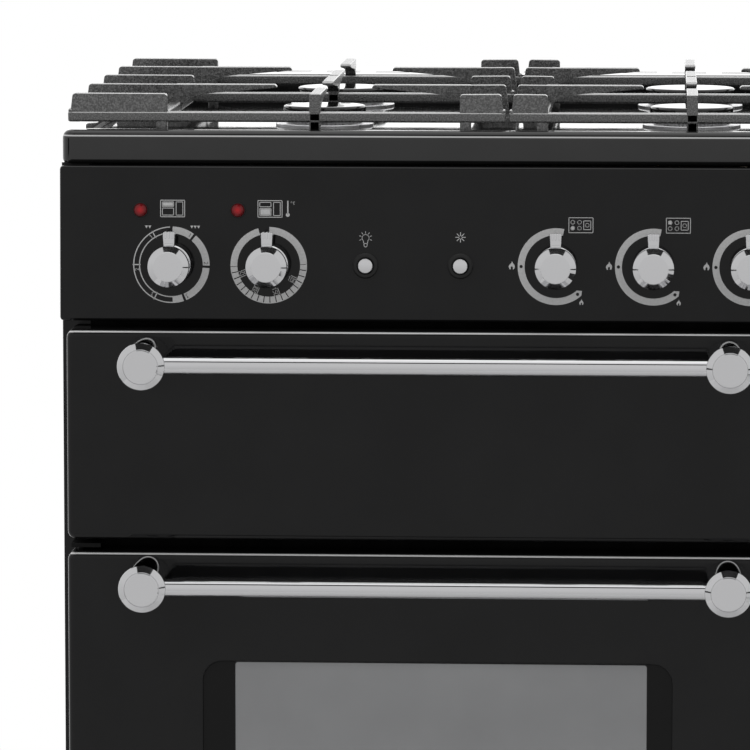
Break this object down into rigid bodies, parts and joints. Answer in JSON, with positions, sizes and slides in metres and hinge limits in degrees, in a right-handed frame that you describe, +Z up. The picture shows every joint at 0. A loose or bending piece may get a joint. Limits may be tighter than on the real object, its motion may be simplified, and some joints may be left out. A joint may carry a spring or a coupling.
{
  "type": "freestanding gas range",
  "caption": "Wide black range with a gas hob, a grill and main oven on the left, a tall oven on the right, a storage drawer, chrome bar handles and round chrome knobs.",
  "frame": {"origin": "middle of the bounding box's bottom face, on the floor", "axes": "+X to the right as seen from the front, -Y towards the user, +Z up"},
  "size_m": [0.9, 0.684, 0.93],
  "materials": {
    "black_enamel": "gloss",
    "galvanised_steel": "satin",
    "foot_plastic": "matt",
    "neon_red": "gloss",
    "burner_alloy": "satin",
    "cap_enamel": "satin",
    "brass": "satin",
    "tap_steel": "satin",
    "switch_plastic": "gloss",
    "oven_enamel": "gloss",
    "chrome": "polished",
    "element_steel": "satin",
    "cast_iron": "rough",
    "smoked_glass": "gloss",
    "gasket_fibre": "matt"
  },
  "bodies": {
    "cabinet": {"side_panel_left": "black_enamel", "side_panel_right": "black_enamel", "plinth": "black_enamel", "front_frame": "black_enamel", "hob_tray": "black_enamel", "rear_vent": "black_enamel", "control_panel": "black_enamel", "back_panel": "galvanised_steel", "base_frame": "galvanised_steel", "drawer_runners": "galvanised_steel", "door_hinges": "galvanised_steel", "levelling_feet": "foot_plastic", "neon_lenses": "neon_red", "burner_bases": "burner_alloy", "burner_caps": "cap_enamel", "gas_rail": "brass", "control_switches": "switch_plastic", "main_oven_liner": "oven_enamel", "tall_oven_liner": "oven_enamel", "grill_liner": "oven_enamel", "grill_pan": "oven_enamel", "oven_shelves": "chrome", "heating_elements": "element_steel"},
    "tap_1": {"tap_plunger_1": "tap_steel"},
    "hob_knob_1": {"hob_knob_1": "chrome"},
    "tap_2": {"tap_plunger_2": "tap_steel"},
    "hob_knob_2": {"hob_knob_2": "chrome"},
    "tap_3": {"tap_plunger_3": "tap_steel"},
    "hob_knob_3": {"hob_knob_3": "chrome"},
    "tap_4": {"tap_plunger_4": "tap_steel"},
    "hob_knob_4": {"hob_knob_4": "chrome"},
    "tap_5": {"tap_plunger_5": "tap_steel"},
    "hob_knob_5": {"hob_knob_5": "chrome"},
    "grill_knob": {"grill_knob": "chrome"},
    "main_oven_knob": {"main_oven_knob": "chrome"},
    "timer_knob": {"timer_knob": "chrome"},
    "tall_oven_knob": {"tall_oven_knob": "chrome"},
    "light_button": {"light_button": "chrome"},
    "ignition_button": {"ignition_button": "chrome"},
    "main_oven_fan": {"main_oven_fan": "element_steel"},
    "tall_oven_fan": {"tall_oven_fan": "element_steel"},
    "pan_support_left": {"pan_support_left": "cast_iron"},
    "pan_support_centre": {"pan_support_centre": "cast_iron"},
    "pan_support_right": {"pan_support_right": "cast_iron"},
    "grill_door": {"grill_door_panel": "black_enamel", "grill_door_liner": "oven_enamel", "grill_door_handle": "chrome"},
    "main_door": {"main_door_panel": "black_enamel", "main_door_liner": "oven_enamel", "main_door_glass": "smoked_glass", "main_door_handle": "chrome", "main_door_seal": "gasket_fibre"},
    "tall_door": {"tall_door_panel": "black_enamel", "tall_door_liner": "oven_enamel", "tall_door_glass": "smoked_glass", "tall_door_handle": "chrome", "tall_door_seal": "gasket_fibre"},
    "drawer": {"drawer_front": "black_enamel", "drawer_box": "oven_enamel", "drawer_handle": "chrome"}
  },
  "joints": [
    {"name": "tap_1_push", "type": "slide", "parent": "cabinet", "child": "tap_1", "axis": [0, 0.9993, -0.0368], "range_m": [0, 0.004], "stiffness_N_per_m": 1500, "springref_m": -0.002},
    {"name": "hob_knob_1_turn", "type": "hinge", "parent": "tap_1", "child": "hob_knob_1", "pos_m": [-0.096, -0.27356, 0.8102], "axis": [0, -0.9993, 0.0368], "range_deg": [0, 225]},
    {"name": "tap_2_push", "type": "slide", "parent": "cabinet", "child": "tap_2", "axis": [0, 0.9993, -0.0368], "range_m": [0, 0.004], "stiffness_N_per_m": 1500, "springref_m": -0.002},
    {"name": "hob_knob_2_turn", "type": "hinge", "parent": "tap_2", "child": "hob_knob_2", "pos_m": [-0.027, -0.27356, 0.8102], "axis": [0, -0.9993, 0.0368], "range_deg": [0, 225]},
    {"name": "tap_3_push", "type": "slide", "parent": "cabinet", "child": "tap_3", "axis": [0, 0.9993, -0.0368], "range_m": [0, 0.004], "stiffness_N_per_m": 1500, "springref_m": -0.002},
    {"name": "hob_knob_3_turn", "type": "hinge", "parent": "tap_3", "child": "hob_knob_3", "pos_m": [0.042, -0.27356, 0.8102], "axis": [0, -0.9993, 0.0368], "range_deg": [0, 225]},
    {"name": "tap_4_push", "type": "slide", "parent": "cabinet", "child": "tap_4", "axis": [0, 0.9993, -0.0368], "range_m": [0, 0.004], "stiffness_N_per_m": 1500, "springref_m": -0.002},
    {"name": "hob_knob_4_turn", "type": "hinge", "parent": "tap_4", "child": "hob_knob_4", "pos_m": [0.111, -0.27356, 0.8102], "axis": [0, -0.9993, 0.0368], "range_deg": [0, 225]},
    {"name": "tap_5_push", "type": "slide", "parent": "cabinet", "child": "tap_5", "axis": [0, 0.9993, -0.0368], "range_m": [0, 0.004], "stiffness_N_per_m": 1500, "springref_m": -0.002},
    {"name": "hob_knob_5_turn", "type": "hinge", "parent": "tap_5", "child": "hob_knob_5", "pos_m": [0.18, -0.27356, 0.8102], "axis": [0, -0.9993, 0.0368], "range_deg": [0, 225]},
    {"name": "grill_knob_turn", "type": "hinge", "parent": "cabinet", "child": "grill_knob", "pos_m": [-0.37, -0.27356, 0.8102], "axis": [0, -0.9993, 0.0368], "range_deg": [-160, 160]},
    {"name": "main_oven_knob_turn", "type": "hinge", "parent": "cabinet", "child": "main_oven_knob", "pos_m": [-0.3005, -0.27356, 0.8102], "axis": [0, -0.9993, 0.0368], "range_deg": [-300, 0]},
    {"name": "timer_knob_turn", "type": "hinge", "parent": "cabinet", "child": "timer_knob", "pos_m": [0.3005, -0.27356, 0.8102], "axis": [0, -0.9993, 0.0368], "range_deg": [-300, 0]},
    {"name": "tall_oven_knob_turn", "type": "hinge", "parent": "cabinet", "child": "tall_oven_knob", "pos_m": [0.37, -0.27356, 0.8102], "axis": [0, -0.9993, 0.0368], "range_deg": [-300, 0]},
    {"name": "light_button_push", "type": "slide", "parent": "cabinet", "child": "light_button", "axis": [0, 0.9993, -0.0368], "range_m": [0, 0.003], "stiffness_N_per_m": 600, "springref_m": -0.002},
    {"name": "ignition_button_push", "type": "slide", "parent": "cabinet", "child": "ignition_button", "axis": [0, 0.9993, -0.0368], "range_m": [0, 0.003], "stiffness_N_per_m": 600, "springref_m": -0.002},
    {"name": "grill_door_drop", "type": "hinge", "parent": "cabinet", "child": "grill_door", "pos_m": [-0.1795, -0.283, 0.6204], "axis": [1, 0, 0], "range_deg": [0, 90]},
    {"name": "main_door_swing", "type": "hinge", "parent": "cabinet", "child": "main_door", "pos_m": [-0.436, -0.272, 0.415], "axis": [0, 0, 1], "range_deg": [-105, 0]},
    {"name": "tall_door_swing", "type": "hinge", "parent": "cabinet", "child": "tall_door", "pos_m": [0.436, -0.272, 0.494], "axis": [0, 0, 1], "range_deg": [0, 105]},
    {"name": "drawer_slide", "type": "slide", "parent": "cabinet", "child": "drawer", "axis": [0, -1, 0], "range_m": [0, 0.34]},
    {"name": "main_oven_fan_spin", "type": "hinge", "parent": "cabinet", "child": "main_oven_fan", "pos_m": [-0.1795, 0.17, 0.415], "axis": [0, 1, 0], "continuous": true},
    {"name": "tall_oven_fan_spin", "type": "hinge", "parent": "cabinet", "child": "tall_oven_fan", "pos_m": [0.269, 0.17, 0.5], "axis": [0, 1, 0], "continuous": true},
    {"name": "pan_support_left_lift", "type": "slide", "parent": "cabinet", "child": "pan_support_left", "axis": [0, 0, 1], "range_m": [0, 0.06]},
    {"name": "pan_support_centre_lift", "type": "slide", "parent": "cabinet", "child": "pan_support_centre", "axis": [0, 0, 1], "range_m": [0, 0.06]},
    {"name": "pan_support_right_lift", "type": "slide", "parent": "cabinet", "child": "pan_support_right", "axis": [0, 0, 1], "range_m": [0, 0.06]}
  ]
}
